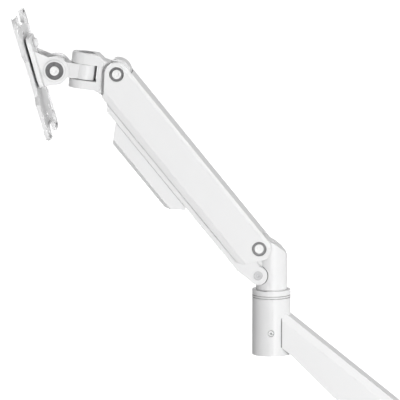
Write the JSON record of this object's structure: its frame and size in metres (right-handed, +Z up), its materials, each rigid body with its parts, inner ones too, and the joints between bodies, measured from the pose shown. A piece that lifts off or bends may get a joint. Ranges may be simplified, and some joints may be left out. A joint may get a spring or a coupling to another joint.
{
  "type": "monitor arm",
  "caption": "Gas-sprung desk monitor arm with clamp base, swivelling lower arm, parallelogram upper arm, tilting and turning VESA plate.",
  "frame": {"origin": "centre of the pole axis on the underside of the base pad, which is the desk surface", "axes": "+Z up along the base pole, -X towards the monitor along the arm as stored, +Y across the arm"},
  "size_m": [0.4683, 0.117, 0.6391],
  "materials": {
    "white_paint": "satin white powder coat",
    "white_plastic": "fine-textured white moulding",
    "steel": "zinc-plated steel",
    "rubber": "matt rubber",
    "dark_plastic": "matt black plastic",
    "dark_paint": "black paint"
  },
  "bodies": {
    "base": {"base_pad": "rubber", "base_plate": "white_paint", "base_pole": "steel", "pole_screws": "steel", "clamp_bracket": "white_paint", "bracket_screws": "steel"},
    "clamp_pad": {"clamp_disc": "steel", "disc_pad": "rubber"},
    "clamp_screw": {"clamp_spindle": "steel", "clamp_knob": "dark_plastic"},
    "lower_arm": {"lower_arm": "white_paint", "base_bush": "dark_plastic", "hub_cap": "white_plastic", "lower_cable_strip": "white_plastic", "elbow_collar": "white_paint", "collar_bolts": "steel", "elbow_bush": "dark_plastic", "elbow_set_screw": "white_paint"},
    "elbow": {"elbow_post": "white_paint", "elbow_washer": "white_plastic", "post_clip": "steel", "main_pivot_bushes": "dark_plastic", "link_rear_screws": "steel"},
    "tension_screw": {"tension_screw": "steel"},
    "tension_nut": {"tension_nut": "steel"},
    "upper_arm": {"arm_beam": "white_paint", "arm_cover_front": "white_plastic", "arm_cover_back": "white_plastic", "main_pivot_bolts": "white_paint", "main_pivot_nuts": "steel", "pivot_washers": "steel", "cover_clips": "dark_plastic", "gas_cylinder": "dark_paint", "gas_anchor_pin": "steel"},
    "gas_rod": {"gas_rod": "steel"},
    "lower_link": {"lower_link": "white_paint"},
    "cable_cover": {"cable_cover": "white_plastic"},
    "knuckle": {"knuckle": "white_paint", "front_pivot_bushes": "dark_plastic", "link_front_screws": "steel", "swivel_bolt": "white_paint", "swivel_nut": "steel", "swivel_washers": "dark_plastic"},
    "swivel_head": {"swivel_tongue": "white_paint"},
    "tilt_head": {"tilt_bracket": "white_paint", "tilt_bolt": "white_paint", "tilt_nut": "steel", "tilt_springs": "steel", "tilt_washers": "dark_plastic", "lock_screw": "white_paint"},
    "vesa_plate": {"plate_hub": "steel", "hub_retainer": "steel", "hub_screws": "steel", "vesa_plate": "white_paint"}
  },
  "joints": [
    {"name": "base_swivel", "type": "hinge", "parent": "base", "child": "lower_arm", "pos_m": [0, 0, 0.02], "axis": [0, 0, 1], "range_deg": [-90, 90]},
    {"name": "clamp_slide", "type": "slide", "parent": "base", "child": "clamp_pad", "axis": [0, 0, 1], "range_m": [-0.012, 0.035]},
    {"name": "clamp_turn", "type": "hinge", "parent": "clamp_pad", "child": "clamp_screw", "pos_m": [0.008, 0, -0.06], "axis": [0, 0, 1], "range_deg": [-2881, 8401]},
    {"name": "elbow_swivel", "type": "hinge", "parent": "lower_arm", "child": "elbow", "pos_m": [-0.175, 0, 0.2], "axis": [0, 0, 1], "range_deg": [-170, 170]},
    {"name": "lift", "type": "hinge", "parent": "elbow", "child": "upper_arm", "pos_m": [-0.1864, 0, 0.2743], "axis": [0, 1, 0], "range_deg": [-80, 0]},
    {"name": "link_swing", "type": "hinge", "parent": "elbow", "child": "lower_link", "pos_m": [-0.1874, 0, 0.2478], "axis": [0, 1, 0], "range_deg": [-80, 0]},
    {"name": "knuckle_level", "type": "hinge", "parent": "upper_arm", "child": "knuckle", "pos_m": [-0.32162, 0, 0.44068], "axis": [0, 1, 0], "range_deg": [0, 80]},
    {"name": "gas_stroke", "type": "slide", "parent": "upper_arm", "child": "gas_rod", "axis": [-0.5873, 0, 0.8094], "range_m": [0, 0.02333]},
    {"name": "tension_travel", "type": "slide", "parent": "elbow", "child": "tension_nut", "axis": [0.2588, 0, 0.9659], "range_m": [-0.004, 0.004]},
    {"name": "tension_turn", "type": "hinge", "parent": "elbow", "child": "tension_screw", "pos_m": [-0.1713, 0, 0.281], "axis": [0.2588, 0, 0.9659], "range_deg": [-1441, 1441]},
    {"name": "cover_pull", "type": "slide", "parent": "lower_link", "child": "cable_cover", "axis": [-0.776, 0, -0.6307], "range_m": [0, 0.03]},
    {"name": "head_swivel", "type": "hinge", "parent": "knuckle", "child": "swivel_head", "pos_m": [-0.35262, 0, 0.44168], "axis": [0.1219, 0, 0.9925], "range_deg": [-80, 80]},
    {"name": "head_tilt", "type": "hinge", "parent": "swivel_head", "child": "tilt_head", "pos_m": [-0.38042, 0, 0.44379], "axis": [0, 1, 0], "range_deg": [-25, 35]},
    {"name": "plate_rotate", "type": "hinge", "parent": "tilt_head", "child": "vesa_plate", "pos_m": [-0.40179, 0, 0.43849], "axis": [0.9613, 0, 0.2756], "range_deg": [-90, 90]}
  ],
  "couplings": [
    {"joint": "clamp_turn", "follows": "clamp_slide", "rad_per_m": 4188.8},
    {"joint": "tension_turn", "follows": "tension_travel", "rad_per_m": -6283.2},
    {"joint": "link_swing", "follows": "lift", "ratio": 1},
    {"joint": "knuckle_level", "follows": "lift", "ratio": -1},
    {"joint": "gas_stroke", "follows": "lift", "m_per_rad": -0.016563}
  ]
}
